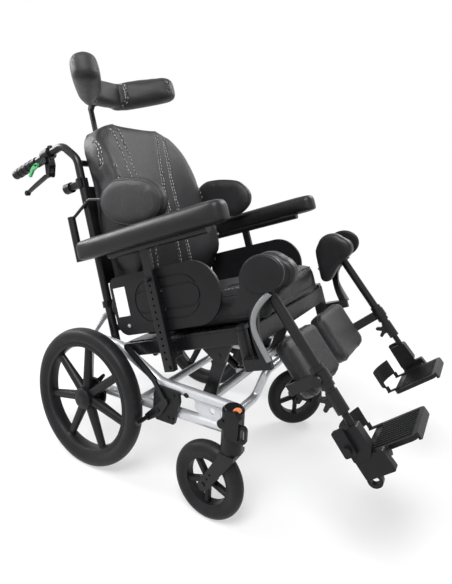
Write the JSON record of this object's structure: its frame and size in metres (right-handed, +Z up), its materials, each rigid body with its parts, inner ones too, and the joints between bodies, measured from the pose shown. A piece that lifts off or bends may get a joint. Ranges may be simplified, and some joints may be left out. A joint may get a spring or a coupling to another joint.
{
  "type": "tilt in space wheelchair",
  "caption": "Multi-position comfort wheelchair with tilting seat, reclining padded back, winged headrest, trunk supports, height-adjustable armrests and elevating legrests.",
  "frame": {"origin": "on the floor under the middle of the bounding box", "axes": "+X forward, the way the sitter faces; +Y to the sitter's left; +Z up"},
  "size_m": [1.3732, 0.6902, 1.2345],
  "materials": {
    "silver": "satin powder coat",
    "black_metal": "satin",
    "black_plastic": "fine grain",
    "grey_plastic": "satin",
    "tyre": "ribbed tread",
    "chrome": "polished",
    "bright_steel": "brushed",
    "upholstery": "grained, stitched",
    "webbing": "woven",
    "green": "gloss",
    "yellow": "gloss",
    "pad_foam": "smooth"
  },
  "bodies": {
    "base": {"base_frame": "silver", "castor_housings": "black_plastic", "front_covers": "black_plastic", "axle_brackets": "bright_steel", "drum_brakes": "black_metal", "parking_brake_mounts": "black_plastic", "tilt_supports": "black_metal"},
    "seat": {"seat_frame": "black_metal", "seat_cushion": "upholstery", "pelvic_belt": "webbing", "arm_sockets": "black_metal", "skirt_guards": "black_plastic"},
    "back": {"back_frame": "black_metal", "back_cushion": "upholstery", "push_grips": "black_plastic", "handle_clamps": "black_plastic"},
    "tilt_cylinder": {"tilt_cylinder": "black_metal"},
    "tilt_rod": {"tilt_rod": "chrome"},
    "recline_cylinder": {"recline_cylinder": "black_metal"},
    "recline_rod": {"recline_rod": "chrome"},
    "tilt_trigger": {"tilt_trigger": "green"},
    "recline_trigger": {"recline_trigger": "yellow"},
    "headrest_stem": {"headrest_stem": "bright_steel"},
    "headrest_pad": {"headrest_pad": "upholstery"},
    "rear_wheel_right": {"rear_tyre_right": "tyre", "rear_rim_right": "black_plastic"},
    "castor_right": {"castor_fork_right": "black_metal"},
    "castor_wheel_right": {"castor_wheel_right": "tyre"},
    "parking_brake_right": {"parking_brake_lever_right": "black_metal"},
    "hand_brake_right": {"hand_brake_lever_right": "black_plastic"},
    "lateral_right": {"lateral_bar_right": "black_metal", "lateral_pad_right": "upholstery"},
    "arm_right": {"arm_post_right": "black_metal", "arm_pad_right": "pad_foam"},
    "hanger_right": {"leg_hanger_right": "grey_plastic", "knee_pad_right": "pad_foam"},
    "leg_right": {"leg_tube_right": "black_metal"},
    "calf_right": {"calf_arm_right": "black_metal", "calf_pad_right": "upholstery"},
    "foot_right": {"foot_tube_right": "black_plastic"},
    "footplate_right": {"footplate_right": "black_plastic", "heel_strap_right": "webbing"},
    "rear_wheel_left": {"rear_tyre_left": "tyre", "rear_rim_left": "black_plastic"},
    "castor_left": {"castor_fork_left": "black_metal"},
    "castor_wheel_left": {"castor_wheel_left": "tyre"},
    "parking_brake_left": {"parking_brake_lever_left": "black_metal"},
    "hand_brake_left": {"hand_brake_lever_left": "black_plastic"},
    "lateral_left": {"lateral_bar_left": "black_metal", "lateral_pad_left": "upholstery"},
    "arm_left": {"arm_post_left": "black_metal", "arm_pad_left": "pad_foam"},
    "hanger_left": {"leg_hanger_left": "grey_plastic", "knee_pad_left": "pad_foam"},
    "leg_left": {"leg_tube_left": "black_metal"},
    "calf_left": {"calf_arm_left": "black_metal", "calf_pad_left": "upholstery"},
    "foot_left": {"foot_tube_left": "black_plastic"},
    "footplate_left": {"footplate_left": "black_plastic", "heel_strap_left": "webbing"}
  },
  "joints": [
    {"name": "seat_tilt", "type": "hinge", "parent": "base", "child": "seat", "pos_m": [0.1882, 0, 0.4], "axis": [0, 1, 0], "range_deg": [-5, 19.7]},
    {"name": "tilt_spring_swing", "type": "hinge", "parent": "base", "child": "tilt_cylinder", "pos_m": [0.1302, 0, 0.262], "axis": [0, 1, 0], "range_deg": [-3.97, 15.57]},
    {"name": "tilt_rod_travel", "type": "slide", "parent": "tilt_cylinder", "child": "tilt_rod", "axis": [-0.8545, 0, 0.5194], "range_m": [-0.01272, 0.04984]},
    {"name": "back_recline", "type": "hinge", "parent": "seat", "child": "back", "pos_m": [-0.17291, 0, 0.32528], "axis": [0, 1, 0], "range_deg": [-30, 0]},
    {"name": "recline_spring_swing", "type": "hinge", "parent": "seat", "child": "recline_cylinder", "pos_m": [0.00695, -0.06, 0.34287], "axis": [0, 1, 0], "range_deg": [-0.02, 0.167]},
    {"name": "recline_rod_travel", "type": "slide", "parent": "recline_cylinder", "child": "recline_rod", "axis": [-0.9088, 0, -0.4172], "range_m": [-0.03131, 0.0001]},
    {"name": "headrest_height", "type": "slide", "parent": "back", "child": "headrest_stem", "axis": [-0.3206, 0, 0.9472], "range_m": [-0.04, 0.05]},
    {"name": "headrest_tilt", "type": "hinge", "parent": "headrest_stem", "child": "headrest_pad", "pos_m": [-0.55733, 0, 1.12104], "axis": [0, 1, 0], "range_deg": [-20, 8]},
    {"name": "tilt_trigger_pull", "type": "hinge", "parent": "back", "child": "tilt_trigger", "pos_m": [-0.53248, -0.255, 0.87607], "axis": [0, 1, 0], "range_deg": [0, 14], "stiffness_Nm_per_rad": 0.6},
    {"name": "recline_trigger_pull", "type": "hinge", "parent": "back", "child": "recline_trigger", "pos_m": [-0.53248, 0.255, 0.87607], "axis": [0, 1, 0], "range_deg": [0, 14], "stiffness_Nm_per_rad": 0.6},
    {"name": "rear_wheel_right_spin", "type": "hinge", "parent": "base", "child": "rear_wheel_right", "pos_m": [-0.2098, -0.314, 0.203], "axis": [0, 1, 0], "continuous": true},
    {"name": "castor_right_swivel", "type": "hinge", "parent": "base", "child": "castor_right", "pos_m": [0.2712, -0.29, 0], "axis": [0, 0, 1], "continuous": true},
    {"name": "castor_wheel_right_spin", "type": "hinge", "parent": "castor_right", "child": "castor_wheel_right", "pos_m": [0.2092, -0.29, 0.1], "axis": [0, 1, 0], "continuous": true},
    {"name": "parking_brake_right_lever", "type": "hinge", "parent": "base", "child": "parking_brake_right", "pos_m": [0.0402, -0.29, 0.23], "axis": [0, 1, 0], "range_deg": [0, 10]},
    {"name": "hand_brake_right_lever", "type": "hinge", "parent": "back", "child": "hand_brake_right", "pos_m": [-0.49597, -0.229, 0.8462], "axis": [0, 1, 0], "range_deg": [0, 16], "stiffness_Nm_per_rad": 1.2},
    {"name": "lateral_right_swing", "type": "hinge", "parent": "back", "child": "lateral_right", "pos_m": [-0.34166, -0.25, 0.64294], "axis": [0.3206, 0, -0.9472], "range_deg": [0, 90]},
    {"name": "armrest_right_height", "type": "slide", "parent": "seat", "child": "arm_right", "axis": [-0.3206, 0, 0.9472], "range_m": [-0.06, 0]},
    {"name": "legrest_right_swing", "type": "hinge", "parent": "seat", "child": "hanger_right", "pos_m": [0.28627, -0.272, 0.45959], "axis": [0.3206, 0, -0.9472], "range_deg": [0, 90]},
    {"name": "legrest_right_elevation", "type": "hinge", "parent": "hanger_right", "child": "leg_right", "pos_m": [0.32338, -0.284, 0.64001], "axis": [0, 1, 0], "range_deg": [-50, 5]},
    {"name": "calf_pad_right_swing", "type": "hinge", "parent": "leg_right", "child": "calf_right", "pos_m": [0.48224, -0.284, 0.44697], "axis": [0.6354, 0, -0.7722], "range_deg": [0, 95]},
    {"name": "footrest_right_length", "type": "slide", "parent": "leg_right", "child": "foot_right", "axis": [0.6354, 0, -0.7722], "range_m": [-0.02, 0.08]},
    {"name": "footplate_right_fold", "type": "hinge", "parent": "foot_right", "child": "footplate_right", "pos_m": [0.6055, -0.258, 0.29716], "axis": [0.7722, 0, 0.6354], "range_deg": [0, 90]},
    {"name": "rear_wheel_left_spin", "type": "hinge", "parent": "base", "child": "rear_wheel_left", "pos_m": [-0.2098, 0.314, 0.203], "axis": [0, 1, 0], "continuous": true},
    {"name": "castor_left_swivel", "type": "hinge", "parent": "base", "child": "castor_left", "pos_m": [0.2712, 0.29, 0], "axis": [0, 0, 1], "continuous": true},
    {"name": "castor_wheel_left_spin", "type": "hinge", "parent": "castor_left", "child": "castor_wheel_left", "pos_m": [0.22512, 0.24851, 0.1], "axis": [-0.6691, 0.7431, 0], "continuous": true},
    {"name": "parking_brake_left_lever", "type": "hinge", "parent": "base", "child": "parking_brake_left", "pos_m": [0.0402, 0.29, 0.23], "axis": [0, 1, 0], "range_deg": [0, 10]},
    {"name": "hand_brake_left_lever", "type": "hinge", "parent": "back", "child": "hand_brake_left", "pos_m": [-0.49597, 0.229, 0.8462], "axis": [0, 1, 0], "range_deg": [0, 16], "stiffness_Nm_per_rad": 1.2},
    {"name": "lateral_left_swing", "type": "hinge", "parent": "back", "child": "lateral_left", "pos_m": [-0.34166, 0.25, 0.64294], "axis": [-0.3206, 0, 0.9472], "range_deg": [0, 90]},
    {"name": "armrest_left_height", "type": "slide", "parent": "seat", "child": "arm_left", "axis": [-0.3206, 0, 0.9472], "range_m": [-0.06, 0]},
    {"name": "legrest_left_swing", "type": "hinge", "parent": "seat", "child": "hanger_left", "pos_m": [0.28627, 0.272, 0.45959], "axis": [-0.3206, 0, 0.9472], "range_deg": [0, 90]},
    {"name": "legrest_left_elevation", "type": "hinge", "parent": "hanger_left", "child": "leg_left", "pos_m": [0.32338, 0.284, 0.64001], "axis": [0, 1, 0], "range_deg": [-50, 5]},
    {"name": "calf_pad_left_swing", "type": "hinge", "parent": "leg_left", "child": "calf_left", "pos_m": [0.48224, 0.284, 0.44697], "axis": [-0.6354, 0, 0.7722], "range_deg": [0, 95]},
    {"name": "footrest_left_length", "type": "slide", "parent": "leg_left", "child": "foot_left", "axis": [0.6354, 0, -0.7722], "range_m": [-0.02, 0.08]},
    {"name": "footplate_left_fold", "type": "hinge", "parent": "foot_left", "child": "footplate_left", "pos_m": [0.6055, 0.258, 0.29716], "axis": [-0.7722, 0, -0.6354], "range_deg": [0, 90]}
  ],
  "couplings": [
    {"joint": "tilt_spring_swing", "follows": "seat_tilt", "ratio": 0.7896},
    {"joint": "tilt_rod_travel", "follows": "seat_tilt", "m_per_rad": 0.14466},
    {"joint": "recline_spring_swing", "follows": "back_recline", "ratio": -0.0049},
    {"joint": "recline_rod_travel", "follows": "back_recline", "m_per_rad": 0.059616}
  ]
}
